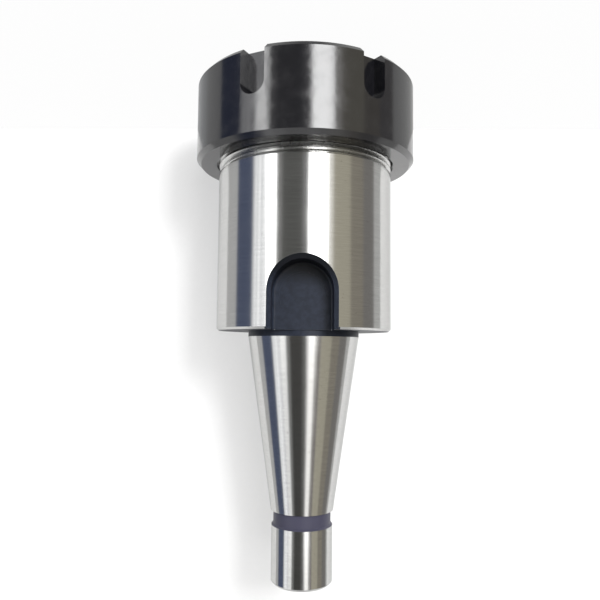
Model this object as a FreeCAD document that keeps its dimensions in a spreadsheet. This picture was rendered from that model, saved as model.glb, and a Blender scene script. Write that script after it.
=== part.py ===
"""Collet chuck holder: a 30-taper (7:24) shank that carries an ER40 collet and its clamping nut.

The chuck stands on the front face of its nut.  +Z runs along its axis to the drawbar end, and
the two drive slots face -Y and +Y.  All lengths are in millimetres and all angles in degrees.

Three sub-parts, each a PartDesign body whose sketches and features read the sheet "sizes":
    holder_body     ground shank with taper, drive slots, collet seat and drawbar hole
    clamping_nut    slotted round nut with the 30 degree cone and the eccentric extraction ring
    spring_collet   slit collet that the nut presses into the seat
"""

import FreeCAD, Part
import math
import os

import Sketcher

# ---------------------------------------------------------------- driving dimensions

SIZES = [
    # clamping nut
    ("nut_diameter", 63.0, "outside diameter of the nut"),
    ("nut_length", 24.0, "front face to back face"),
    ("nut_front_chamfer", 1.5, "45 degree edge at the front"),
    ("nut_back_chamfer", 1.25, "45 degree edge at the back"),
    ("nut_mouth_diameter", 34.0, "opening that the tool comes out of"),
    ("nut_slot_count", 6, "spanner slots round the rim"),
    ("nut_slot_width", 7.0, "spanner slot, across"),
    ("nut_slot_depth", 4.4, "spanner slot, from the rim inwards"),
    ("nut_slot_length", 13.0, "spanner slot, from the front face to its round end"),
    ("nut_rest_angle", 24.9, "turn of the tightened nut about the axis"),
    ("nut_entry_diameter", 51.6, "wide end of the bevel where the thread enters"),
    ("nut_shelf_height", 10.6, "front face to the step in front of the thread"),
    # thread between nut and holder
    ("thread_diameter", 50.0, "M50 x 1.5, over the crests"),
    ("thread_pitch", 1.5, "rise per turn"),
    ("thread_depth", 0.92, "crest to root of the holder's thread"),
    ("thread_clearance", 0.08, "radial play between holder and nut"),
    ("thread_lead_in", 1.0, "45 degree edge at the start of the holder's thread"),
    ("thread_relief_width", 1.6, "groove at the inner end of the nut's thread"),
    # collet
    ("collet_diameter", 41.0, "over the rear collar"),
    ("collet_length", 46.0, "front face to rear face"),
    ("collet_half_angle", 8.0, "rear cone, from the axis"),
    ("collet_recess", 0.4, "collet face behind the nut's front face"),
    ("front_half_angle", 30.0, "front cone, from the axis"),
    ("front_land", 1.0, "straight length in front of the front cone"),
    ("front_face_diameter", 33.4, "collet at its front face"),
    ("front_cone_diameter", 38.0, "wide end of the front cone"),
    ("groove_diameter", 34.8, "bottom of the extraction groove"),
    ("groove_width", 3.0, "length of the extraction groove"),
    ("collar_width", 1.6, "straight length of the rear collar"),
    ("tool_diameter", 20.0, "shank that the collet grips"),
    ("tool_lead_in", 0.6, "45 degree edge of the tool bore"),
    ("slit_count", 8, "slits from each end"),
    ("slit_width", 0.8, "saw cut"),
    ("front_web", 8.5, "metal left between the rear slits and the front face"),
    ("rear_web", 5.0, "metal left between the front slits and the rear face"),
    ("seat_clearance", 0.02, "radial play of both cones"),
    # eccentric extraction ring, part of the nut
    ("ring_width", 2.2, "thickness of the ring"),
    ("ring_play", 0.42, "play between the front cone's wide end and the ring"),
    ("ring_diameter", 36.6, "bore of the ring"),
    ("ring_offset", 0.75, "distance of the ring's bore from the axis"),
    ("collar_play", 0.3, "radial play of the collet's collar in the nut"),
    # holder
    ("holder_front_height", 11.5, "nut's front face to the holder's front face"),
    ("body_diameter", 50.0, "ground body behind the nut"),
    ("body_front_height", 26.4, "nut's front face to the shoulder of the body"),
    ("body_front_chamfer", 0.4, "45 degree edge at the shoulder"),
    ("body_back_chamfer", 0.6, "45 degree edge at the drive face"),
    ("gauge_height", 73.5, "nut's front face to the gauge plane of the taper"),
    ("drive_face_gap", 1.6, "drive face in front of the gauge plane"),
    ("gauge_diameter", 31.75, "taper at the gauge plane"),
    ("taper_length", 48.4, "gauge plane to the small end"),
    ("taper_ratio", 7.0 / 24.0, "loss of diameter per length"),
    ("tail_groove_width", 4.1, "turned groove behind the taper"),
    ("tail_groove_diameter", 16.2, "bottom of that groove"),
    ("tail_groove_flare", 0.5, "length of the bevel from the groove up to the pilot"),
    ("pilot_diameter", 17.2, "cylindrical end"),
    ("pilot_length", 15.9, "length of the cylindrical end"),
    ("pilot_chamfer", 0.7, "45 degree edge at the end"),
    ("drive_slot_width", 16.2, "drive slot, across"),
    ("drive_slot_floor", 16.2, "axis to the floor of a drive slot"),
    ("drive_slot_length", 17.95, "drive face to the round end of a drive slot"),
    ("drive_slot_bevel", 1.25, "broken edge round a drive slot"),
    ("drive_slot_fillet", 0.8, "cutter's corner radius along the floor"),
    ("plunge_diameter", 12.6, "round mark where the cutter went in"),
    ("plunge_depth", 0.12, "depth of that mark below the floor"),
    ("plunge_offset", 0.8, "mark's centre behind the centre of the slot's round end"),
    # bores of the holder
    ("seat_run_out", 1.5, "seat cone beyond the collet's rear face"),
    ("shank_bore_diameter", 25.0, "room for the end of the tool shank"),
    ("shank_bore_length", 14.0, "length of that room"),
    ("through_hole_diameter", 8.0, "hole from the shank room to the drawbar hole"),
    ("drawbar_core_diameter", 10.2, "M12 drawbar thread, at its core"),
    ("drawbar_depth", 36.0, "end face to the end of the drawbar hole"),
    ("centre_diameter", 13.0, "wide end of the 60 degree centre"),
    ("drill_point_angle", 59.0, "half the point angle of a drill"),
    ("centre_half_angle", 30.0, "half the angle of the centre"),
]


def make_sheet(doc):
    """Write every driving dimension into the sheet, one aliased cell per row."""
    sheet = doc.addObject("Spreadsheet::Sheet", "sizes")
    for row, (alias, value, note) in enumerate(SIZES, start=1):
        sheet.set(f"A{row}", note)
        sheet.set(f"B{row}", repr(value))
        sheet.setAlias(f"B{row}", alias)
    doc.recompute()
    return sheet


# ---------------------------------------------------------------- expressions shared by the pieces

def half(alias):
    """Radius of a diameter in the sheet."""
    return f"sizes.{alias} / 2"


def tangent(alias):
    """Tangent of an angle in the sheet."""
    return f"tan(sizes.{alias} * 1 deg)"


# heights above the nut's front face, along the axis
COLLET_FRONT = "sizes.collet_recess"
COLLET_REAR = f"{COLLET_FRONT} + sizes.collet_length"
FRONT_CONE_START = f"{COLLET_FRONT} + sizes.front_land"
FRONT_CONE_LENGTH = (
    f"({half('front_cone_diameter')} - {half('front_face_diameter')}) / {tangent('front_half_angle')}"
)
FRONT_CONE_END = f"{FRONT_CONE_START} + {FRONT_CONE_LENGTH}"
COLLAR_START = f"{FRONT_CONE_END} + sizes.groove_width"
COLLAR_END = f"{COLLAR_START} + sizes.collar_width"
RING_START = f"{FRONT_CONE_END} + sizes.ring_play"
RING_END = f"{RING_START} + sizes.ring_width"
SEAT_END = f"{COLLET_REAR} + sizes.seat_run_out"
SHANK_BORE_END = f"{SEAT_END} + sizes.shank_bore_length"
DRIVE_FACE = "sizes.gauge_height - sizes.drive_face_gap"
TAPER_END = "sizes.gauge_height + sizes.taper_length"
PILOT_START = f"{TAPER_END} + sizes.tail_groove_width"
HOLDER_END = f"{PILOT_START} + sizes.pilot_length"
DRAWBAR_END = f"{HOLDER_END} - sizes.drawbar_depth"

# radii
THREAD_CORE = f"{half('thread_diameter')} - sizes.thread_depth"
NUT_THREAD = f"{THREAD_CORE} + sizes.thread_clearance"
TAPER_END_RADIUS = f"{half('gauge_diameter')} - sizes.taper_length * sizes.taper_ratio / 2"


def rear_cone_radius(height, play="0"):
    """Radius of the collet's rear cone, or of its seat with some play, at a height."""
    drop = f"(({height}) - ({COLLAR_END})) * {tangent('collet_half_angle')}"
    return f"{half('collet_diameter')} - {drop} + {play}"


def point_length(wide, narrow, angle):
    """Length of the cone that joins two radii at an angle from the axis."""
    return f"(({wide}) - ({narrow})) / {tangent(angle)}"


# ---------------------------------------------------------------- modelling helpers

TOUCH = 1e-3


def origin_feature(body, role):
    """The body's own origin plane or axis with the given role."""
    return next(item for item in body.Origin.OriginFeatures if item.Role == role)


def new_body(doc, label):
    """An empty body whose label names its file."""
    body = doc.addObject("PartDesign::Body", label)
    body.Label = label
    doc.recompute()
    return body


def new_sketch(body, name, role="XZ_Plane"):
    """A sketch attached to one of the body's own planes."""
    sketch = body.newObject("Sketcher::SketchObject", name)
    sketch.AttachmentSupport = [(origin_feature(body, role), "")]
    sketch.MapMode = "FlatFace"
    return sketch


def bind(sketch, kind, first, second, expression):
    """Add a dimension between two points, or of one curve, that follows an expression."""
    value = float(sketch.evalExpression(expression))
    points = (*first, *second) if second else first
    index = sketch.addConstraint(Sketcher.Constraint(kind, *points, value))
    sketch.setExpression(f"Constraints[{index}]", expression)


def place_point(sketch, point, across, along):
    """Tie a point to expressions for its two distances from the sketch's origin."""
    if across == "0":
        sketch.addConstraint(Sketcher.Constraint("PointOnObject", *point, -2))
    else:
        bind(sketch, "DistanceX", (-1, 1), point, across)
    if along == "0":
        sketch.addConstraint(Sketcher.Constraint("PointOnObject", *point, -1))
    else:
        bind(sketch, "DistanceY", (-1, 1), point, along)


def draw_outline(sketch, corners):
    """Draw a closed outline through corners given as pairs of expressions (radius, height)."""
    spots = [
        FreeCAD.Vector(float(sketch.evalExpression(across)), float(sketch.evalExpression(along)), 0)
        for across, along in corners
    ]
    for start, end in zip(spots, spots[1:] + spots[:1]):
        sketch.addGeometry(Part.LineSegment(start, end), False)
    for index in range(len(spots)):
        following = (index + 1) % len(spots)
        sketch.addConstraint(Sketcher.Constraint("Coincident", index, 2, following, 1))
    for index, (across, along) in enumerate(corners):
        place_point(sketch, (index, 1), across, along)


def revolve(body, name, corners, cut=False):
    """Turn an outline about the axis, to add metal or to cut it away."""
    sketch = new_sketch(body, f"{name}_outline")
    draw_outline(sketch, corners)
    kind = "PartDesign::Groove" if cut else "PartDesign::Revolution"
    feature = body.newObject(kind, name)
    feature.Profile = sketch
    feature.ReferenceAxis = (sketch, ["V_Axis"])
    feature.Angle = 360
    body.Document.recompute()
    return feature


def draw_open_slot(sketch, width, open_at, end_at, upwards):
    """Draw a slot outline with a square open end and a round closed end on the vertical axis."""
    side = 1 if upwards else -1
    radius = float(sketch.evalExpression(width)) / 2
    mouth = float(sketch.evalExpression(open_at))
    centre = float(sketch.evalExpression(end_at)) - side * radius
    left, right = -side * radius, side * radius
    spots = [
        FreeCAD.Vector(left, centre, 0),
        FreeCAD.Vector(left, mouth, 0),
        FreeCAD.Vector(right, mouth, 0),
        FreeCAD.Vector(right, centre, 0),
    ]
    for start, end in zip(spots, spots[1:]):
        sketch.addGeometry(Part.LineSegment(start, end), False)
    circle = Part.Circle(FreeCAD.Vector(0, centre, 0), FreeCAD.Vector(0, 0, 1), radius)
    turn = 0 if upwards else math.pi
    sketch.addGeometry(Part.ArcOfCircle(circle, turn, turn + math.pi), False)
    for joint in ((0, 2, 1, 1), (1, 2, 2, 1)):
        sketch.addConstraint(Sketcher.Constraint("Coincident", *joint))
    sketch.addConstraint(Sketcher.Constraint("Tangent", 2, 2, 3, 1))
    sketch.addConstraint(Sketcher.Constraint("Tangent", 0, 1, 3, 2))
    sketch.addConstraint(Sketcher.Constraint("Vertical", 0))
    sketch.addConstraint(Sketcher.Constraint("Horizontal", 1))
    bind(sketch, "Radius", (3,), None, f"({width}) / 2")
    reach = f"({end_at}) - ({width}) / 2" if upwards else f"({end_at}) + ({width}) / 2"
    place_point(sketch, (3, 3), "0", reach)
    if open_at == "0":
        sketch.addConstraint(Sketcher.Constraint("PointOnObject", 1, 1, -1))
    else:
        bind(sketch, "DistanceY", (-1, 1), (1, 1), open_at)


def cut_outwards(body, sketch, name, floor, reach):
    """Cut the sketch's outline from a floor at a distance from the axis out through the side."""
    sketch.setExpression("AttachmentOffset.Base.z", floor)
    pocket = body.newObject("PartDesign::Pocket", name)
    pocket.Profile = sketch
    pocket.Reversed = True
    pocket.Length = float(sketch.evalExpression(reach))
    pocket.setExpression("Length", reach)
    body.Document.recompute()
    return pocket


def repeat_round_axis(body, feature, name, count):
    """Repeat a feature at even turns about the body's axis."""
    pattern = body.newObject("PartDesign::PolarPattern", name)
    pattern.Originals = [feature]
    pattern.Axis = (origin_feature(body, "Z_Axis"), [""])
    pattern.Angle = 360
    pattern.Occurrences = int(body.evalExpression(count))
    pattern.setExpression("Occurrences", count)
    body.Tip = pattern
    body.Document.recompute()
    return pattern


class SlotZone:
    """The room that a drive slot takes, used to pick the edges in it."""

    def __init__(self, half_width, low, high):
        self.half_width = half_width
        self.low = low
        self.high = high

    def edges(self, shape, measure, wanted):
        """Names of the outline's edges whose middle and ends lie at the wanted distance."""
        names = []
        for number, edge in enumerate(shape.Edges, start=1):
            first, last = edge.FirstParameter, edge.LastParameter
            spots = [edge.valueAt(first + (last - first) * part) for part in (0.02, 0.5, 0.98)]
            level = all(abs(measure(spot) - wanted) < TOUCH for spot in spots)
            inside = all(self.holds(spot) for spot in spots)
            if level and inside and self.follows_wall(spots[1]):
                names.append(f"Edge{number}")
        return names

    def holds(self, spot):
        """Whether a point lies between the slot's sides and ends."""
        return abs(spot.x) < self.half_width + TOUCH and self.low - TOUCH < spot.z < self.high

    def follows_wall(self, spot):
        """Whether a point lies on the slot's outline of two sides and a round end."""
        centre = self.low + self.half_width
        reach = abs(spot.x) if spot.z > centre else math.hypot(spot.x, spot.z - centre)
        return abs(reach - self.half_width) < TOUCH


def dress(body, kind, name, base, edges, size_name, expression):
    """Round or bevel edges of a feature, with a size that follows an expression."""
    feature = body.newObject(kind, name)
    feature.Base = (base, edges)
    feature.setExpression(size_name, expression)
    body.Tip = feature
    body.Document.recompute()
    return feature


# ---------------------------------------------------------------- sub-parts

def make_holder(doc):
    """Turned and ground shank: thread, body, 7:24 taper, groove and pilot, then its cuts."""
    body = new_body(doc, "holder_body")
    edge = "sizes.thread_lead_in"
    shoulder = "sizes.body_front_height"
    front = "sizes.holder_front_height"
    revolve(body, "turned_blank", [
        ("0", front),
        (f"{THREAD_CORE} - {edge}", front),
        (THREAD_CORE, f"{front} + {edge}"),
        (THREAD_CORE, shoulder),
        (f"{half('body_diameter')} - sizes.body_front_chamfer", shoulder),
        (half("body_diameter"), f"{shoulder} + sizes.body_front_chamfer"),
        (half("body_diameter"), f"{DRIVE_FACE} - sizes.body_back_chamfer"),
        (f"{half('body_diameter')} - sizes.body_back_chamfer", DRIVE_FACE),
        (half("gauge_diameter"), DRIVE_FACE),
        (half("gauge_diameter"), "sizes.gauge_height"),
        (TAPER_END_RADIUS, TAPER_END),
        (half("tail_groove_diameter"), TAPER_END),
        (half("tail_groove_diameter"), f"{PILOT_START} - sizes.tail_groove_flare"),
        (half("pilot_diameter"), PILOT_START),
        (half("pilot_diameter"), f"{HOLDER_END} - sizes.pilot_chamfer"),
        (f"{half('pilot_diameter')} - sizes.pilot_chamfer", HOLDER_END),
        ("0", HOLDER_END),
    ])
    blank_volume = body.Shape.Volume

    # collet seat, shank room, through hole and drawbar hole, all on the axis
    shank_point = point_length(half("shank_bore_diameter"), half("through_hole_diameter"),
                               "drill_point_angle")
    drawbar_point = point_length(half("drawbar_core_diameter"), half("through_hole_diameter"),
                                 "drill_point_angle")
    centre_length = point_length(half("centre_diameter"), half("drawbar_core_diameter"),
                                 "centre_half_angle")
    revolve(body, "bores", [
        ("0", front),
        (rear_cone_radius(front, "sizes.seat_clearance"), front),
        (rear_cone_radius(SEAT_END, "sizes.seat_clearance"), SEAT_END),
        (half("shank_bore_diameter"), SEAT_END),
        (half("shank_bore_diameter"), SHANK_BORE_END),
        (half("through_hole_diameter"), f"{SHANK_BORE_END} + {shank_point}"),
        (half("through_hole_diameter"), f"{DRAWBAR_END} - {drawbar_point}"),
        (half("drawbar_core_diameter"), DRAWBAR_END),
        (half("drawbar_core_diameter"), f"{HOLDER_END} - {centre_length}"),
        (half("centre_diameter"), HOLDER_END),
        ("0", HOLDER_END),
    ], cut=True)
    check_cut(body, blank_volume, "bores")

    # two opposed drive slots, open at the drive face and round at the other end
    bored_volume = body.Shape.Volume
    outline = new_sketch(body, "drive_slot_outline")
    draw_open_slot(outline, "sizes.drive_slot_width", DRIVE_FACE,
                   f"{DRIVE_FACE} - sizes.drive_slot_length", upwards=False)
    slot = cut_outwards(body, outline, "drive_slot", "sizes.drive_slot_floor",
                        half("body_diameter"))
    repeat_round_axis(body, slot, "drive_slots", "2")
    check_cut(body, bored_volume, "drive slots")

    # shallow round mark in each floor
    slotted_volume = body.Shape.Volume
    circle = new_sketch(body, "plunge_circle")
    height = f"{DRIVE_FACE} - sizes.drive_slot_length + {half('drive_slot_width')} + sizes.plunge_offset"
    centre = FreeCAD.Vector(0, float(body.evalExpression(height)), 0)
    radius = sheet_value(doc, "plunge_diameter") / 2
    circle.addGeometry(Part.Circle(centre, FreeCAD.Vector(0, 0, 1), radius), False)
    bind(circle, "Radius", (0,), None, half("plunge_diameter"))
    place_point(circle, (0, 3), "0", height)
    circle.setExpression("AttachmentOffset.Base.z", "sizes.drive_slot_floor")
    mark = body.newObject("PartDesign::Pocket", "plunge_mark")
    mark.Profile = circle
    mark.Length = sheet_value(doc, "plunge_depth")
    mark.setExpression("Length", "sizes.plunge_depth")
    doc.recompute()
    marks = repeat_round_axis(body, mark, "plunge_marks", "2")
    check_cut(body, slotted_volume, "plunge marks")

    # cutter's radius along the floor, then a bevel where each slot breaks through the ground side
    low = float(body.evalExpression(f"{DRIVE_FACE} - sizes.drive_slot_length"))
    high = float(body.evalExpression(DRIVE_FACE))
    slot = SlotZone(sheet_value(doc, "drive_slot_width") / 2, low, high)
    floor = slot.edges(marks.Shape, lambda spot: abs(spot.y), sheet_value(doc, "drive_slot_floor"))
    corner = dress(body, "PartDesign::Fillet", "slot_floor_fillet", marks, floor, "Radius",
                   "sizes.drive_slot_fillet")
    rim = slot.edges(corner.Shape, lambda spot: math.hypot(spot.x, spot.y),
                     sheet_value(doc, "body_diameter") / 2)
    dress(body, "PartDesign::Chamfer", "slot_bevel", corner, rim, "Size",
          "sizes.drive_slot_bevel")
    return body


def make_nut(doc):
    """Round clamping nut with its cone, eccentric ring, thread bore and spanner slots."""
    body = new_body(doc, "clamping_nut")
    rim = half("nut_diameter")
    revolve(body, "turned_ring", [
        ("0", "0"),
        (f"{rim} - sizes.nut_front_chamfer", "0"),
        (rim, "sizes.nut_front_chamfer"),
        (rim, "sizes.nut_length - sizes.nut_back_chamfer"),
        (f"{rim} - sizes.nut_back_chamfer", "sizes.nut_length"),
        ("0", "sizes.nut_length"),
    ])
    ring_volume = body.Shape.Volume

    # from the front: mouth, 30 degree cone, extraction ring, collar room, thread and its bevel
    cone_wide = f"{half('front_cone_diameter')} + sizes.seat_clearance"
    cone_start = (
        f"{FRONT_CONE_END} - ({cone_wide} - {half('nut_mouth_diameter')})"
        f" / {tangent('front_half_angle')}"
    )
    ring_bore = f"{half('ring_diameter')} - sizes.ring_offset"
    collar_bore = f"{half('collet_diameter')} + sizes.collar_play"
    entry = f"{half('nut_entry_diameter')} - ({NUT_THREAD})"
    relief = half("thread_diameter")
    shelf = "sizes.nut_shelf_height"
    revolve(body, "bores", [
        ("0", "0"),
        (half("nut_mouth_diameter"), "0"),
        (half("nut_mouth_diameter"), cone_start),
        (cone_wide, FRONT_CONE_END),
        (cone_wide, RING_START),
        (ring_bore, RING_START),
        (ring_bore, RING_END),
        (collar_bore, RING_END),
        (collar_bore, shelf),
        (relief, shelf),
        (relief, f"{shelf} + sizes.thread_relief_width"),
        (NUT_THREAD, f"{shelf} + sizes.thread_relief_width"),
        (NUT_THREAD, f"sizes.nut_length - ({entry})"),
        (half("nut_entry_diameter"), "sizes.nut_length"),
        ("0", "sizes.nut_length"),
    ], cut=True)
    check_cut(body, ring_volume, "nut bores")

    # the ring's bore is off the axis, so one side of it hooks into the collet's groove
    bored_volume = body.Shape.Volume
    circle = new_sketch(body, "ring_circle", "XY_Plane")
    offset = sheet_value(doc, "ring_offset")
    radius = sheet_value(doc, "ring_diameter") / 2
    centre = FreeCAD.Vector(offset, 0, 0)
    circle.addGeometry(Part.Circle(centre, FreeCAD.Vector(0, 0, 1), radius), False)
    bind(circle, "Radius", (0,), None, half("ring_diameter"))
    place_point(circle, (0, 3), "sizes.ring_offset", "0")
    circle.setExpression("AttachmentOffset.Base.z", RING_END)
    ring = body.newObject("PartDesign::Pocket", "eccentric_bore")
    ring.Profile = circle
    ring.Length = sheet_value(doc, "ring_width")
    ring.setExpression("Length", "sizes.ring_width")
    doc.recompute()
    check_cut(body, bored_volume, "eccentric bore")

    # spanner slots, open at the front face and round at the other end
    ringed_volume = body.Shape.Volume
    outline = new_sketch(body, "spanner_slot_outline")
    draw_open_slot(outline, "sizes.nut_slot_width", "0", "sizes.nut_slot_length", upwards=True)
    slot = cut_outwards(body, outline, "spanner_slot", f"{rim} - sizes.nut_slot_depth", rim)
    repeat_round_axis(body, slot, "spanner_slots", "sizes.nut_slot_count")
    check_cut(body, ringed_volume, "spanner slots")

    body.Placement.Rotation = FreeCAD.Rotation(FreeCAD.Vector(0, 0, 1), 1)
    body.setExpression("Placement.Rotation.Angle", "sizes.nut_rest_angle * 1 deg")
    return body


def make_collet(doc):
    """Double-slit spring collet: front cone, extraction groove, collar and 8 degree rear cone."""
    body = new_body(doc, "spring_collet")
    bore = half("tool_diameter")
    lead = "sizes.tool_lead_in"
    revolve(body, "turned_collet", [
        (f"{bore} + {lead}", COLLET_FRONT),
        (half("front_face_diameter"), COLLET_FRONT),
        (half("front_face_diameter"), FRONT_CONE_START),
        (half("front_cone_diameter"), FRONT_CONE_END),
        (half("groove_diameter"), FRONT_CONE_END),
        (half("groove_diameter"), COLLAR_START),
        (half("collet_diameter"), COLLAR_START),
        (half("collet_diameter"), COLLAR_END),
        (rear_cone_radius(COLLET_REAR), COLLET_REAR),
        (f"{bore} + {lead}", COLLET_REAR),
        (bore, f"{COLLET_REAR} - {lead}"),
        (bore, f"{COLLET_FRONT} + {lead}"),
    ])
    make_slits(body, "front", COLLET_FRONT, f"{COLLET_REAR} - sizes.rear_web", "0 deg")
    make_slits(body, "rear", f"{COLLET_FRONT} + sizes.front_web", COLLET_REAR,
               "180 deg / sizes.slit_count")
    return body


def make_slits(body, name, low, high, turn):
    """Saw a ring of slits through the collet's wall, between two heights."""
    before = body.Shape.Volume
    outline = new_sketch(body, f"{name}_slit_outline")
    reach = "sizes.collet_diameter"
    draw_outline(outline, [("0", low), (reach, low), (reach, high), ("0", high)])
    outline.AttachmentOffset = FreeCAD.Placement(
        FreeCAD.Vector(0, 0, 0), FreeCAD.Rotation(FreeCAD.Vector(0, 1, 0), 0))
    if turn != "0 deg":
        angle = float(body.evalExpression(f"({turn}) / 1 deg"))
        outline.AttachmentOffset = FreeCAD.Placement(
            FreeCAD.Vector(0, 0, 0), FreeCAD.Rotation(FreeCAD.Vector(0, 1, 0), angle))
        outline.setExpression("AttachmentOffset.Rotation.Angle", turn)
    slit = body.newObject("PartDesign::Pocket", f"{name}_slit")
    slit.Profile = outline
    slit.SideType = "Symmetric"
    slit.Length = float(body.evalExpression("sizes.slit_width"))
    slit.setExpression("Length", "sizes.slit_width")
    body.Document.recompute()
    repeat_round_axis(body, slit, f"{name}_slits", "sizes.slit_count")
    check_cut(body, before, f"{name} slits")


# ---------------------------------------------------------------- checks and output

def sheet_value(doc, alias):
    """A driving dimension as a plain number."""
    return float(doc.sizes.get(alias))


def check_cut(body, before, what):
    """Stop when a cut took nothing away."""
    if body.Shape.Volume > before - 1e-3:
        raise RuntimeError(f"the {what} cut nothing from {body.Label}")


def check_document(doc, bodies):
    """Stop when a feature failed or a sub-part has no sound shape."""
    for item in doc.Objects:
        if {"Invalid", "Error"} & set(item.State):
            raise RuntimeError(f"{item.Name} failed: {item.State}")
    for body in bodies:
        if body.Shape.isNull() or not body.Shape.isValid():
            raise RuntimeError(f"{body.Label} has no valid shape")
        if len(body.Shape.Solids) != 1:
            raise RuntimeError(f"{body.Label} has {len(body.Shape.Solids)} solids")


def main():
    """Build the document, check it and write one STEP file per sub-part."""
    doc = FreeCAD.newDocument("collet_chuck_holder")
    make_sheet(doc)
    bodies = [make_holder(doc), make_nut(doc), make_collet(doc)]
    doc.recompute()
    check_document(doc, bodies)
    os.makedirs("parts", exist_ok=True)
    for body in bodies:
        body.Shape.exportStep(f"parts/{body.Label}.step")
        print(f"{body.Label}: {body.Shape.Volume:.1f} mm3, {len(body.Shape.Faces)} faces")


main()
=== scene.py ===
"""Looks of a milling collet chuck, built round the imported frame.

The chuck stands on its nut, with the taper shank upwards.  Three solids come from the frame and
get their finishes here: the ground holder, the black nut and the spring collet.  The thread
between the nut and the body is a new piece.
"""

import logging
import math
from dataclasses import dataclass
from enum import Enum
from typing import Sequence

import bpy
import numpy as np
from mathutils import Matrix, Vector


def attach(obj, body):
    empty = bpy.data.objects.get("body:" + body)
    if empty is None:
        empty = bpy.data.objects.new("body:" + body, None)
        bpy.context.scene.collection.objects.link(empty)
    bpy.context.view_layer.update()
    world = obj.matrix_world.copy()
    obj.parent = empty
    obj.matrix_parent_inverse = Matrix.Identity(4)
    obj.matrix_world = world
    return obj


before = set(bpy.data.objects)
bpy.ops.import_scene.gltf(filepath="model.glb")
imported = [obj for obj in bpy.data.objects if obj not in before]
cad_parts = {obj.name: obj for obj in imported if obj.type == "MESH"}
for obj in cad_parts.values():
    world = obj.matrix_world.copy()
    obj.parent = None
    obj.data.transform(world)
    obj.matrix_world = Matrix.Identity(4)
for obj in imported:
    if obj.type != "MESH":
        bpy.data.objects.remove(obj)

log = logging.getLogger("collet_chuck")

for leftover in ("Cube", "Light", "Camera"):
    if leftover in bpy.data.objects:
        bpy.data.objects.remove(bpy.data.objects[leftover])

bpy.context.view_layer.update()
MM = 0.001

Colour = tuple[float, float, float]

# Most values of a noise lie in this range.
NOISE_MIDDLE = (0.3, 0.7)


class Node(Enum):
    """Solids of the frame, by the name of their node."""

    HOLDER = "holder_body"
    NUT = "clamping_nut"
    COLLET = "spring_collet"


class Body(Enum):
    """Rigid body that the new piece rides."""

    HOLDER = "holder"


class Slot(Enum):
    """Material slot of the record that the new piece belongs to."""

    GROUND = "ground_steel"


# ---------------------------------------------------------------- node tree helper


def opaque(colour: Colour, share: float = 1.0) -> tuple[float, ...]:
    """Add full opacity to a colour.

    Args:
        colour: red, green and blue.
        share: what each of them is multiplied by.

    Returns:
        Red, green, blue and opacity.
    """
    return (*(share * part for part in colour), 1.0)


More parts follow.
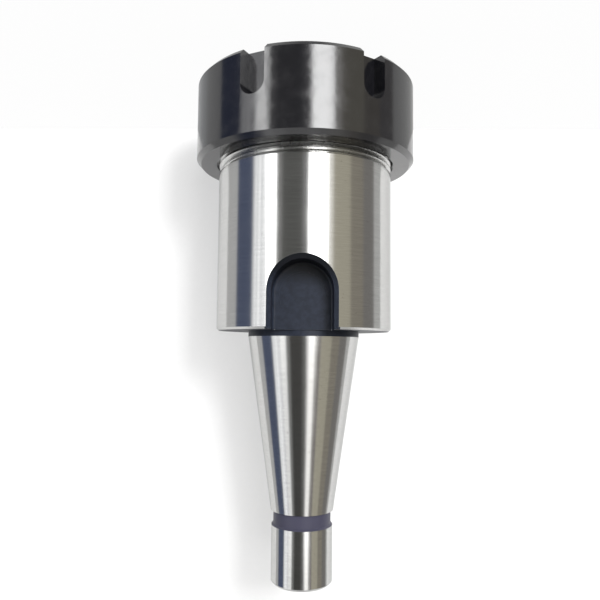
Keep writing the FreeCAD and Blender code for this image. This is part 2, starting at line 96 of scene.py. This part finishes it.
@dataclass
class Tree:
    """A small writer for shader node trees.

    Args:
        tree: the node tree that nodes are added to.
    """

    tree: bpy.types.NodeTree

    def add(self, kind: str, **settings: object) -> bpy.types.Node:
        """Add a node and set its properties.

        Args:
            kind: the node's type name.
            settings: property names and values.

        Returns:
            The new node.
        """
        node = self.tree.nodes.new(kind)
        for name, value in settings.items():
            setattr(node, name, value)
        return node

    def put(self, socket: bpy.types.NodeSocket, value: object) -> None:
        """Link an output to a socket, or set a plain value on it.

        Args:
            socket: the input.
            value: an output socket, a number or a colour.
        """
        if isinstance(value, bpy.types.NodeSocket):
            self.tree.links.new(value, socket)
        else:
            socket.default_value = value

    def math(self, operation: str, *values: object, clamp: bool = False) -> bpy.types.NodeSocket:
        """One math node.

        Args:
            operation: the node's operation.
            values: numbers or sockets, in the order of its inputs.
            clamp: whether the result is kept between 0 and 1.

        Returns:
            The node's output.
        """
        node = self.add("ShaderNodeMath", operation=operation, use_clamp=clamp)
        for socket, value in zip(node.inputs, values):
            self.put(socket, value)
        return node.outputs[0]

    def all_of(self, *tests: bpy.types.NodeSocket) -> bpy.types.NodeSocket:
        """One where every test is one.

        Args:
            tests: sockets that are nought or one.

        Returns:
            Their product.
        """
        product = tests[0]
        for test in tests[1:]:
            product = self.math("MULTIPLY", product, test)
        return product

    def between(self, value: object, low: float, high: float) -> bpy.types.NodeSocket:
        """One between two limits, nought outside them.

        Args:
            value: the socket that is tested.
            low: lower limit.
            high: upper limit.

        Returns:
            The test's result.
        """
        return self.all_of(self.math("GREATER_THAN", value, low),
                           self.math("LESS_THAN", value, high))

    def combine(self, x: object, y: object, z: object) -> bpy.types.NodeSocket:
        """A vector from three numbers or sockets.

        Args:
            x: first part.
            y: second part.
            z: third part.

        Returns:
            The vector.
        """
        node = self.add("ShaderNodeCombineXYZ")
        for socket, value in zip(node.inputs, (x, y, z)):
            self.put(socket, value)
        return node.outputs[0]

    def noise(self, vector: object, scale: float, detail: float = 2.0,
              roughness: float = 0.5) -> bpy.types.NodeSocket:
        """Noise between 0 and 1.

        Args:
            vector: the coordinates to read.
            scale: cells per unit.
            detail: octaves.
            roughness: share of the finer octaves.

        Returns:
            The noise's value.
        """
        node = self.add("ShaderNodeTexNoise")
        self.put(node.inputs["Vector"], vector)
        node.inputs["Scale"].default_value = scale
        node.inputs["Detail"].default_value = detail
        node.inputs["Roughness"].default_value = roughness
        return node.outputs["Fac"]

    def span(self, value: object, low: float, high: float, out_low: float = 0.0,
             out_high: float = 1.0) -> bpy.types.NodeSocket:
        """Map a range smoothly to another, with both ends held.

        Args:
            value: the socket that is mapped.
            low: where the range starts.
            high: where it ends.
            out_low: result at the start and before it.
            out_high: result at the end and after it.

        Returns:
            The mapped value.
        """
        node = self.add("ShaderNodeMapRange", interpolation_type="SMOOTHSTEP")
        for socket, number in zip(node.inputs, (value, low, high, out_low, out_high)):
            self.put(socket, number)
        return node.outputs[0]

    def mix(self, factor: object, first: object, second: object) -> bpy.types.NodeSocket:
        """Mix two colours.

        Args:
            factor: share of the second.
            first: colour where the factor is nought.
            second: colour where the factor is one.

        Returns:
            The mixed colour.
        """
        node = self.add("ShaderNodeMix", data_type="RGBA")
        self.put(node.inputs[0], factor)
        self.put(node.inputs[6], first)
        self.put(node.inputs[7], second)
        return node.outputs[2]

    def mix_shaders(self, factor: object, first: bpy.types.Node,
                    second: bpy.types.Node) -> bpy.types.Node:
        """Mix two shaders.

        Args:
            factor: share of the second.
            first: shader where the factor is nought.
            second: shader where the factor is one.

        Returns:
            The mixing node.
        """
        node = self.add("ShaderNodeMixShader")
        for socket, value in zip(node.inputs, (factor, first.outputs[0], second.outputs[0])):
            self.put(socket, value)
        return node

    def bump(self, height: object, strength: float, distance: float,
             normal: object | None = None) -> bpy.types.NodeSocket:
        """Tilt the surface by a height that isn't in the mesh.

        Args:
            height: the height, as a share of the distance.
            strength: how much of the tilt is used.
            distance: depth of the relief, in metres.
            normal: the tilt that this one is laid over, if any.

        Returns:
            The tilted normal.
        """
        node = self.add("ShaderNodeBump")
        node.inputs["Strength"].default_value = strength
        node.inputs["Distance"].default_value = distance
        self.put(node.inputs["Height"], height)
        if normal is not None:
            self.put(node.inputs["Normal"], normal)
        return node.outputs[0]

    def principled(self, sockets: dict[str, object]) -> bpy.types.Node:
        """A principled shader.

        Args:
            sockets: names of its inputs, with the value or the output that each one gets.

        Returns:
            The shader node.
        """
        node = self.add("ShaderNodeBsdfPrincipled")
        for name, value in sockets.items():
            self.put(node.inputs[name], value)
        return node

    def show(self, shader: bpy.types.Node, kind: str = "ShaderNodeOutputMaterial") -> None:
        """Connect a shader to the tree's output.

        Args:
            shader: the last shader.
            kind: type name of the output node.
        """
        self.put(self.add(kind).inputs["Surface"], shader.outputs[0])


@dataclass(frozen=True)
class AxisCoordinates:
    """Place about the chuck's axis, as sockets in radians and metres.

    Args:
        turn: turn about the axis.
        radius: distance from the axis.
        height: height above the nut's front face.
        across: distance along X.
        point: the whole point.
    """

    turn: bpy.types.NodeSocket
    radius: bpy.types.NodeSocket
    height: bpy.types.NodeSocket
    across: bpy.types.NodeSocket
    point: bpy.types.NodeSocket


def axis_coordinates(tree: Tree) -> AxisCoordinates:
    """Read object coordinates as turn, radius and height about the Z axis.

    Args:
        tree: the tree to write in.

    Returns:
        The coordinates.
    """
    point = tree.add("ShaderNodeTexCoord").outputs["Object"]
    split = tree.add("ShaderNodeSeparateXYZ")
    tree.put(split.inputs[0], point)
    across, depth, height = split.outputs
    square = tree.math("ADD", tree.math("MULTIPLY", across, across),
                       tree.math("MULTIPLY", depth, depth))
    return AxisCoordinates(
        turn=tree.math("ARCTAN2", depth, across),
        radius=tree.math("SQRT", square),
        height=height,
        across=across,
        point=point,
    )


@dataclass(frozen=True)
class Rings:
    """Fine tool marks round the axis: noise that changes slowly round it and fast along it.

    Args:
        around: cells per radian of turn.
        outward: cells per metre of radius.
        upward: cells per metre of height.
        detail: octaves.
        roughness: share of the finer octaves.
    """

    around: float
    outward: float
    upward: float
    detail: float
    roughness: float = 0.5

    def write(self, tree: Tree, place: AxisCoordinates) -> bpy.types.NodeSocket:
        """Write the noise.

        Args:
            tree: the tree to write in.
            place: coordinates about the axis.

        Returns:
            The noise's value, between 0 and 1.
        """
        squeezed = tree.combine(
            tree.math("MULTIPLY", place.turn, self.around),
            tree.math("MULTIPLY", place.radius, self.outward),
            tree.math("MULTIPLY", place.height, self.upward),
        )
        return tree.noise(squeezed, 1.0, self.detail, self.roughness)


def new_material(name: str, tint: Colour) -> tuple[bpy.types.Material, Tree]:
    """A material with an empty tree.

    Args:
        name: the material's name.
        tint: colour shown in plain viewports.

    Returns:
        The material and the writer of its tree.
    """
    material = bpy.data.materials.new(name)
    material.use_nodes = True
    material.node_tree.nodes.clear()
    material.diffuse_color = opaque(tint)
    return material, Tree(material.node_tree)


# ---------------------------------------------------------------- finishes


@dataclass(frozen=True)
class BlackOxide:
    """Thin blue-black oxide on turned or milled steel.  Depths are in metres."""

    colour: Colour = (0.0030, 0.0030, 0.0045)
    worn_colour: Colour = (0.005, 0.005, 0.0065)
    roughness: float = 0.10
    worn_roughness: float = 0.09
    grain_roughness: float = 0.05
    index: float = 1.93
    blotch_scale: float = 230.0
    grain_scale: float = 2600.0
    wave_scale: float = 330.0
    wave_depth: float = 1.6e-5
    ring_depth: float = 1.5e-6
    rings: Rings = Rings(around=2.0, outward=1.0, upward=9000.0, detail=1.0)

    def build(self) -> bpy.types.Material:
        """Write the material of the nut.

        Blotches are noise on object coordinates, which dulls some patches; fine rings are
        noise squeezed along the height, as a lathe leaves them.

        Returns:
            The material.
        """
        material, tree = new_material("black_oxide", self.colour)
        place = axis_coordinates(tree)
        blotch = tree.noise(place.point, self.blotch_scale, 3.0, 0.6)
        grain = tree.noise(place.point, self.grain_scale)
        rings = self.rings.write(tree, place)
        dull = tree.span(blotch, 0.42, 0.75, self.roughness,
                         self.roughness + self.worn_roughness)
        grainy = tree.math("MULTIPLY", grain, self.grain_roughness)
        waves = tree.bump(tree.noise(place.point, self.wave_scale, 6.0, 0.62),
                          1.0, self.wave_depth)
        tree.show(tree.principled({
            "Base Color": tree.mix(tree.span(blotch, 0.35, 0.7), opaque(self.colour),
                                   opaque(self.worn_colour)),
            "IOR": self.index,
            "Roughness": tree.math("ADD", dull, grainy),
            "Normal": tree.bump(tree.math("ADD", rings, grain), 0.35, self.ring_depth, waves),
        }))
        return material


@dataclass(frozen=True)
class GroundSteel:
    """Cylindrically ground steel with fine rings round the axis, and black oxide where unground.

    Heights, widths and depths are in metres.
    """

    drive_face: float = 71.9 * MM
    gauge_plane: float = 73.5 * MM
    groove_start: float = 121.88 * MM
    groove_end: float = 126.02 * MM
    slot_half_width: float = 9.6 * MM
    slot_end: float = 52.4 * MM
    slot_rim: float = 24.985 * MM
    core_radius: float = 15.95 * MM
    face_margin: float = 0.02 * MM
    step_margin: float = 0.01 * MM
    # Painted shade on the oxide: full up to the first height above the slots' round ends, gone by
    # the second.
    painted_shade_from: float = 3.0 * MM
    painted_shade_until: float = 9.0 * MM

    bright: Colour = (0.63, 0.63, 0.62)
    ring_share: float = 0.87
    speck: Colour = (0.42, 0.41, 0.40)
    edge_tint: Colour = (0.72, 0.72, 0.72)
    roughness: float = 0.17
    stretch: float = 0.75
    stretch_turn: float = 0.25
    cloud_scale: float = 95.0
    speck_scale: float = 1700.0
    waver_scale: float = 160.0
    waver_depth: float = 5e-6
    ring_depth: float = 1.2e-6
    rings: Rings = Rings(around=3.0, outward=0.0, upward=5200.0, detail=3.0, roughness=0.7)

    black: Colour = (0.0115, 0.0145, 0.023)
    patch_share: float = 1.5
    # Share of the oxide colour left under the painted shade at the slots' round ends.
    painted_shade_share: float = 0.3
    groove: Colour = (0.050, 0.049, 0.075)
    black_roughness: float = 0.38
    black_index: float = 1.3
    patch_scale: float = 700.0
    milling_depth: float = 8e-6

    def slot_mask(self, tree: Tree, place: AxisCoordinates) -> bpy.types.NodeSocket:
        """One inside a drive slot, nought on the ground side.

        Args:
            tree: the tree to write in.
            place: coordinates about the axis.

        Returns:
            The mask: near the slot's outline and nearer to the axis than the ground side.
        """
        narrow = tree.math("LESS_THAN", tree.math("ABSOLUTE", place.across),
                           self.slot_half_width)
        return tree.all_of(
            tree.between(place.radius, self.core_radius, self.slot_rim),
            narrow,
            tree.between(place.height, self.slot_end, self.drive_face - self.face_margin),
        )

    def ground_metal(self, tree: Tree, place: AxisCoordinates) -> bpy.types.Node:
        """Write the bright steel.

        Grinding rings are noise squeezed along the height; a slow noise makes the reflections
        waver.  The gloss is stretched along the axis, across the rings.

        Args:
            tree: the tree to write in.
            place: coordinates about the axis.

        Returns:
            The shader.
        """
        rings = self.rings.write(tree, place)
        cloud = tree.noise(place.point, self.cloud_scale, 3.0, 0.6)
        speck = tree.noise(place.point, self.speck_scale, 1.0)
        steel = tree.mix(tree.span(rings, *NOISE_MIDDLE), opaque(self.bright, self.ring_share),
                         opaque(self.bright))
        steel = tree.mix(tree.span(speck, 0.72, 0.80), steel, opaque(self.speck))
        waver = tree.bump(tree.noise(place.point, self.waver_scale), 1.0, self.waver_depth)
        tangent = tree.add("ShaderNodeTangent", direction_type="RADIAL", axis="Z")
        return tree.principled({
            "Base Color": steel,
            "Metallic": 1.0,
            "Roughness": tree.math("ADD", self.roughness - 0.05,
                                   tree.math("MULTIPLY", cloud, 0.1)),
            "Specular Tint": opaque(self.edge_tint),
            "Anisotropic": self.stretch,
            "Anisotropic Rotation": self.stretch_turn,
            "Tangent": tangent.outputs[0],
            "Normal": tree.bump(rings, 0.3, self.ring_depth, waver),
        })

    def kept_oxide(self, tree: Tree, place: AxisCoordinates,
                   groove: bpy.types.NodeSocket) -> bpy.types.Node:
        """Write the oxide, which is patchy, paler in the groove, and darkened by painted shade
        towards the slots' round ends.

        Args:
            tree: the tree to write in.
            place: coordinates about the axis.
            groove: one in the groove.

        Returns:
            The shader.
        """
        patch = tree.noise(place.point, self.patch_scale, 3.0, 0.6)
        patches_and_shade = tree.mix(tree.span(patch, *NOISE_MIDDLE), opaque(self.black),
                         opaque(self.black, self.patch_share))
        # Painted shade: the oxide is darkened towards each slot's round end, where the lip's shadow
        # falls.
        painted_shade_fade = tree.span(place.height, self.slot_end + self.painted_shade_from,
                             self.slot_end + self.painted_shade_until)
        patches_and_shade = tree.mix(painted_shade_fade, opaque(self.black, self.painted_shade_share), patches_and_shade)
        return tree.principled({
            "Base Color": tree.mix(groove, patches_and_shade, opaque(self.groove)),
            "Roughness": tree.math("ADD", self.black_roughness,
                                   tree.math("MULTIPLY", patch, 0.1)),
            "IOR": self.black_index,
            "Normal": tree.bump(patch, 0.6, self.milling_depth),
        })

    def build(self) -> bpy.types.Material:
        """Write the material of the holder.

        The oxide is kept in the slots, on the band before the taper and in the groove.

        Returns:
            The material.
        """
        material, tree = new_material("ground_steel", self.bright)
        place = axis_coordinates(tree)
        step = tree.between(place.height, self.drive_face - self.step_margin, self.gauge_plane)
        groove = tree.between(place.height, self.groove_start, self.groove_end)
        kept = tree.math("ADD", tree.math("ADD", self.slot_mask(tree, place), step), groove,
                         clamp=True)
        tree.show(tree.mix_shaders(kept, self.ground_metal(tree, place),
                                   self.kept_oxide(tree, place, groove)))
        return material


@dataclass(frozen=True)
class SpringSteel:
    """Fine ground spring steel of the collet and the thread.  Depths are in metres."""

    name: str = "spring_steel"
    colour: Colour = (0.52, 0.52, 0.51)
    roughness: float = 0.26
    cloud_share: float = 0.85
    cloud_scale: float = 150.0
    ring_depth: float = 2e-6
    rings: Rings = Rings(around=3.0, outward=5200.0, upward=5200.0, detail=2.0, roughness=0.6)

    def build(self) -> bpy.types.Material:
        """Write the material: rings squeezed along the height over a slow change of gloss.

        Returns:
            The material.
        """
        material, tree = new_material(self.name, self.colour)
        place = axis_coordinates(tree)
        cloud = tree.noise(place.point, self.cloud_scale, 3.0, 0.6)
        tree.show(tree.principled({
            "Base Color": tree.mix(cloud, opaque(self.colour, self.cloud_share),
                                   opaque(self.colour)),
            "Metallic": 1.0,
            "Roughness": tree.math("ADD", self.roughness, tree.math("MULTIPLY", cloud, 0.1)),
            "Normal": tree.bump(self.rings.write(tree, place), 0.4, self.ring_depth),
        }))
        return material


# ---------------------------------------------------------------- meshes


def set_material(obj: bpy.types.Object, material: bpy.types.Material) -> None:
    """Put one material in every slot of an object.

    Args:
        obj: the object.
        material: the material.
    """
    if not obj.material_slots:
        obj.data.materials.append(material)
    for slot in obj.material_slots:
        slot.material = material


def grid_mesh(name: str, points: np.ndarray, material: bpy.types.Material) -> bpy.types.Object:
    """A surface of flat faces through a grid of points.

    Args:
        name: name of the object and its mesh.
        points: array of shape (rows, columns, 3), in metres.
        material: its material.

    Returns:
        The object, linked to the scene.
    """
    rows, columns = points.shape[:2]
    index = np.arange(rows * columns).reshape(rows, columns)
    quads = np.stack([index[:-1, :-1], index[:-1, 1:], index[1:, 1:], index[1:, :-1]], axis=-1)
    mesh = bpy.data.meshes.new(name)
    mesh.from_pydata(points.reshape(-1, 3).tolist(), [], quads.reshape(-1, 4).tolist())
    mesh.update()
    obj = bpy.data.objects.new(name, mesh)
    bpy.context.scene.collection.objects.link(obj)
    set_material(obj, material)
    return obj


@dataclass
class Solid:
    """A solid of the frame, which keeps its mesh and gets a finish.

    Args:
        node: which solid.
        finish: its material.
    """

    node: Node
    finish: bpy.types.Material

    def dress(self) -> bpy.types.Object:
        """Give the solid its finish.

        Returns:
            The solid's object.
        """
        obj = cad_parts[self.node.value]
        set_material(obj, self.finish)
        return obj


@dataclass
class BodyThread:
    """The M50 thread that the nut runs on.

    Args:
        steel: its material.
        crest_radius: radius of the ridge's crest, in metres.
        core_radius: radius of the neck under it, in metres.
        pitch: height of one turn, in metres.
        start: height of the first turn, in metres.
        shoulder: height of the face that the thread ends at, in metres.
        shoulder_gap: room left before that face, in metres.
        root_sink: how far the ridge's foot lies inside the neck, in metres.
        root_half: half the ridge's foot, as a share of the pitch.
        crest_half: half the ridge's crest, as a share of the pitch.
        steps_per_turn: points in one turn.
    """

    steel: bpy.types.Material
    crest_radius: float = 25.0 * MM
    core_radius: float = 24.08 * MM
    pitch: float = 1.5 * MM
    start: float = 12.4 * MM
    shoulder: float = 26.4 * MM
    shoulder_gap: float = 0.45 * MM
    root_sink: float = 0.03 * MM
    root_half: float = 0.45
    crest_half: float = 0.0625
    steps_per_turn: int = 128

    def build(self) -> bpy.types.Object:
        """Build the helical ridge.

        A point of the surface lies at turn a and profile step p.  Its height is
        start + pitch * a / (2 pi) + rise(p), and its radius is core + depth(p) * fade(a),
        where the profile goes root, crest, crest, root and fade runs the thread out to
        nothing over the last quarter turn at each end.

        Returns:
            The thread.
        """
        quarter = math.pi / 2.0
        turns = (self.shoulder - self.shoulder_gap - self.start) / self.pitch
        turn = np.linspace(0.0, turns, int(turns * self.steps_per_turn) + 1) * 2.0 * math.pi
        height = self.crest_radius - self.core_radius
        depth = np.array([-self.root_sink, height, height, -self.root_sink])
        rise = np.array([-self.root_half, -self.crest_half,
                         self.crest_half, self.root_half]) * self.pitch
        run_out = np.clip(np.minimum(turn, turn[-1] - turn) / quarter, 0.0, 1.0)
        fade = np.sin(run_out * quarter) ** 2
        radius = self.core_radius + np.where(depth > 0.0, depth * fade[:, None], depth)
        along = self.start + self.pitch * turn / (2.0 * math.pi)
        points = np.stack([
            radius * np.cos(turn)[:, None],
            radius * np.sin(turn)[:, None],
            along[:, None] + rise,
        ], axis=-1)
        thread = grid_mesh("body_thread", points, self.steel)
        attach(thread, Body.HOLDER.value)
        return thread


# ---------------------------------------------------------------- studio


@dataclass(frozen=True)
class Strip:
    """One upright band of the surroundings.

    Args:
        until: turn at which it ends, in degrees.
        colour: its light.
        high_colour: dimmer light that a window gives towards its top, if it is one.
    """

    until: float
    colour: Colour
    high_colour: Colour | None = None


@dataclass(frozen=True)
class Fade:
    """A change of the surroundings to one colour towards the top or the bottom.

    Args:
        low: upward part of the direction at the lower end of the change.
        high: upward part of the direction at the upper end.
        colour: the colour.
        upward: whether the colour lies above the change, not below it.
    """

    low: float
    high: float
    colour: Colour
    upward: bool = False


STRIPS = (
    Strip(-125.0, (0.66, 0.67, 0.68)),
    Strip(-98.0, (0.60, 0.60, 0.60)),
    Strip(-71.0, (0.10, 0.12, 0.19)),
    Strip(-67.5, (0.95, 0.96, 0.98)),
    Strip(-65.0, (1.55, 1.56, 1.58)),
    Strip(-63.0, (0.72, 0.73, 0.76)),
    Strip(-59.0, (1.60, 1.61, 1.63)),
    Strip(-57.0, (0.80, 0.81, 0.84)),
    Strip(-54.5, (1.30, 1.31, 1.34)),
    Strip(-52.5, (0.62, 0.63, 0.66)),
    Strip(-38.5, (4.4, 4.4, 4.4), (1.1, 1.1, 1.1)),
    Strip(-30.0, (0.24, 0.24, 0.235)),
    Strip(-4.0, (0.13, 0.13, 0.125), (0.07, 0.068, 0.065)),
    Strip(5.0, (0.22, 0.22, 0.22), (0.13, 0.13, 0.125)),
    Strip(10.0, (7.5, 7.5, 7.5), (0.50, 0.49, 0.48)),
    Strip(23.0, (7.5, 7.5, 7.5), (1.35, 1.33, 1.30)),
    Strip(28.0, (6.5, 6.5, 6.5), (0.42, 0.40, 0.38)),
    Strip(36.0, (1.0, 0.97, 0.90), (0.24, 0.22, 0.21)),
    Strip(60.0, (0.50, 0.47, 0.38)),
    Strip(80.0, (0.31, 0.285, 0.24)),
    Strip(100.0, (0.24, 0.23, 0.22)),
    Strip(150.0, (0.60, 0.60, 0.59)),
    Strip(180.0, (0.70, 0.70, 0.69)),
)

FADES = (
    Fade(0.8, 0.97, (0.7, 0.7, 0.7), upward=True),
    Fade(-0.66, -0.52, (0.55, 0.55, 0.54)),
    Fade(-0.91, -0.85, (0.08, 0.08, 0.085)),
)


@dataclass
class Studio:
    """Surroundings, floor, backdrop, lamp and camera.

    Lengths are in metres and angles in degrees.

    Args:
        strips: bands of the surroundings, by rising turn.
        fades: changes towards the top and the bottom, laid over the strips in this order.
        aim_turn: how far the strips are turned about the vertical.
        blend: widest soft edge between two strips.
        window_foot: upward part of the direction over which the windows' dimmer light comes in.
        window_head: upward part of the direction over which it goes out again.
        floor_reach: half the floor's side.
        floor_drop: how far the floor lies below the nut's face.
        floor_glow: share of the floor that is plain white.
        card_half_width: half the backdrop's width.
        card_height: the backdrop's height.
        card_behind: its distance behind the axis.
        card_glow: share of the backdrop that is plain white.
        lamp_size: the lamp's sides.
        lamp_energy: its power, in watts.
        lamp_place: where it is.
        lamp_aim: the point that it faces.
        camera_place: where the camera is.
        camera_right: the direction to the right of its picture.
        camera_up: the direction to the top of its picture.
        camera_lens: focal length in millimetres, for a sensor 36 mm wide.
    """

    strips: Sequence[Strip] = STRIPS
    fades: Sequence[Fade] = FADES
    aim_turn: float = -2.2
    blend: float = 3.6
    window_foot: tuple[float, float] = (-0.7, -0.5)
    window_head: tuple[float, float] = (-0.02, 0.26)
    floor_reach: float = 3.0
    floor_drop: float = 0.02 * MM
    floor_glow: float = 0.97
    card_half_width: float = 112.0 * MM
    card_height: float = 230.0 * MM
    card_behind: float = 34.0 * MM
    card_glow: float = 0.44
    lamp_size: tuple[float, float] = (0.13, 0.16)
    lamp_energy: float = 3.0
    lamp_place: tuple[float, float, float] = (-0.23, -0.54, -0.10)
    lamp_aim: tuple[float, float, float] = (0.0, 0.0, 0.07)
    camera_place: tuple[float, float, float] = (-2.702 * MM, -181.453 * MM, 76.917 * MM)
    camera_right: tuple[float, float, float] = (-0.99975113, 0.02022877, -0.00940589)
    camera_up: tuple[float, float, float] = (0.00780212, -0.07794862, -0.99692685)
    camera_lens: float = 37.602

    def strip_light(self, tree: Tree, turn: object, window: object) -> object:
        """Write the strips' light.

        Args:
            tree: the tree to write in.
            turn: the direction's turn about the vertical, in degrees.
            window: one at the height where the windows are dimmer.

        Returns:
            The colour.
        """
        light: object = opaque(self.strips[0].colour)
        for before, after in zip(self.strips, self.strips[1:]):
            half = min(self.blend, after.until - before.until) / 2.0
            band: object = opaque(after.colour)
            if after.high_colour is not None:
                band = tree.mix(window, opaque(after.high_colour), band)
            light = tree.mix(tree.span(turn, before.until - half, before.until + half),
                             light, band)
        return light

    def surroundings(self) -> bpy.types.World:
        """Write the world: upright strips round the chuck, and plain white for the camera.

        The strip is chosen by the direction's turn about the vertical.  The strips fade to grey
        high up and low down, and to near black straight down.

        Returns:
            The world.
        """
        world = bpy.data.worlds.new("studio")
        bpy.context.scene.world = world
        world.use_nodes = True
        world.node_tree.nodes.clear()
        tree = Tree(world.node_tree)
        split = tree.add("ShaderNodeSeparateXYZ")
        tree.put(split.inputs[0], tree.add("ShaderNodeTexCoord").outputs["Generated"])
        east, north, up = split.outputs
        turn = tree.math("ARCTAN2", tree.math("MULTIPLY", east, -1.0),
                         tree.math("MULTIPLY", north, -1.0))
        turn = tree.math("ADD", tree.math("DEGREES", turn), self.aim_turn)
        window = tree.math("MULTIPLY", tree.span(up, *self.window_foot),
                           tree.span(up, *self.window_head, 1.0, 0.0))
        light = self.strip_light(tree, turn, window)
        for fade in self.fades:
            ends = (0.0, 1.0) if fade.upward else (1.0, 0.0)
            light = tree.mix(tree.span(up, fade.low, fade.high, *ends), light,
                             opaque(fade.colour))
        lit = tree.add("ShaderNodeBackground")
        tree.put(lit.inputs[0], light)
        white = tree.add("ShaderNodeBackground")
        tree.put(white.inputs[0], opaque((1.0, 1.0, 1.0)))
        seen = tree.add("ShaderNodeLightPath").outputs["Is Camera Ray"]
        tree.show(tree.mix_shaders(seen, lit, white), "ShaderNodeOutputWorld")
        return world

    def paper(self, name: str, glow: float) -> bpy.types.Material:
        """White paper, part of which is plain white when seen, and clear from its back.

        Args:
            name: the material's name.
            glow: share that is plain white to the camera, in reflections and through glass.

        Returns:
            The material.
        """
        material, tree = new_material(name, (0.9, 0.9, 0.9))
        fibre = tree.noise(tree.add("ShaderNodeTexCoord").outputs["Object"], 900.0)
        dull = tree.add("ShaderNodeBsdfDiffuse")
        tree.put(dull.inputs[0], tree.mix(fibre, opaque((0.80, 0.80, 0.80)),
                                          opaque((0.84, 0.84, 0.84))))
        path = tree.add("ShaderNodeLightPath").outputs
        seen = tree.math("ADD", path["Is Camera Ray"], path["Is Glossy Ray"])
        seen = tree.math("ADD", seen, path["Is Transmission Ray"], clamp=True)
        front = tree.mix_shaders(tree.math("MULTIPLY", seen, glow), dull,
                                 tree.add("ShaderNodeEmission"))
        behind = tree.add("ShaderNodeNewGeometry").outputs["Backfacing"]
        tree.show(tree.mix_shaders(behind, front, tree.add("ShaderNodeBsdfTransparent")))
        return material

    def floor(self) -> bpy.types.Object:
        """A pale floor under the chuck, left out of its reflections.

        Returns:
            The floor.
        """
        spots = np.linspace(-self.floor_reach, self.floor_reach, 3)
        across, along = np.meshgrid(spots, spots)
        points = np.stack([across, along, np.full_like(across, -self.floor_drop)], axis=-1)
        floor = grid_mesh("floor", points, self.paper("floor_paper", self.floor_glow))
        floor.visible_glossy = False
        floor.visible_shadow = False
        return floor

    def backdrop(self) -> bpy.types.Object:
        """A white card upright behind the chuck.

        Returns:
            The card.
        """
        width = np.linspace(-self.card_half_width, self.card_half_width, 3)
        height = np.linspace(0.0, self.card_height, 3)
        across, up = np.meshgrid(width, height)
        points = np.stack([across, np.full_like(across, self.card_behind), up], axis=-1)
        card = grid_mesh("backdrop", points, self.paper("backdrop_paper", self.card_glow))
        return card

    def lamp(self) -> bpy.types.Object:
        """A soft lamp to the front, on the side that throws the shadow to the other.

        Returns:
            The lamp.
        """
        data = bpy.data.lights.new("key", "AREA")
        data.shape = "RECTANGLE"
        data.size, data.size_y = self.lamp_size
        data.energy = self.lamp_energy
        lamp = bpy.data.objects.new("key", data)
        bpy.context.scene.collection.objects.link(lamp)
        place = Vector(self.lamp_place)
        lamp.location = place
        lamp.rotation_euler = (Vector(self.lamp_aim) - place).to_track_quat("-Z", "Y").to_euler()
        lamp.visible_glossy = False
        return lamp

    def camera(self) -> bpy.types.Object:
        """The camera: level with the drive face, turned over so that the nut is uppermost.

        Returns:
            The camera.
        """
        data = bpy.data.cameras.new("camera")
        data.sensor_width = 36.0
        data.lens = self.camera_lens
        data.clip_start = 0.01
        data.clip_end = 20.0
        camera = bpy.data.objects.new("camera", data)
        bpy.context.scene.collection.objects.link(camera)
        right, up = Vector(self.camera_right), Vector(self.camera_up)
        turn = Matrix((right, up, right.cross(up))).transposed().to_4x4()
        camera.matrix_world = Matrix.Translation(Vector(self.camera_place)) @ turn
        bpy.context.scene.camera = camera
        return camera


def set_view() -> None:
    """Colours are shown as written."""
    bpy.context.scene.view_settings.view_transform = "Standard"


def main() -> None:
    """Build the studio, dress the solids and add the thread."""
    logging.basicConfig(level=logging.INFO)
    set_view()
    studio = Studio()
    for made in (studio.camera(), studio.floor(), studio.backdrop(), studio.lamp(),
                 studio.surroundings()):
        log.info("studio: %s", made.name)
    for solid in (Solid(Node.HOLDER, GroundSteel().build()),
                  Solid(Node.NUT, BlackOxide().build()),
                  Solid(Node.COLLET, SpringSteel().build())):
        log.info("dressed %s", solid.dress().name)
    thread = BodyThread(SpringSteel("thread_steel", (0.6, 0.6, 0.59), 0.22).build())
    log.info("made %s", thread.build().name)


if __name__ == "__main__":
    main()
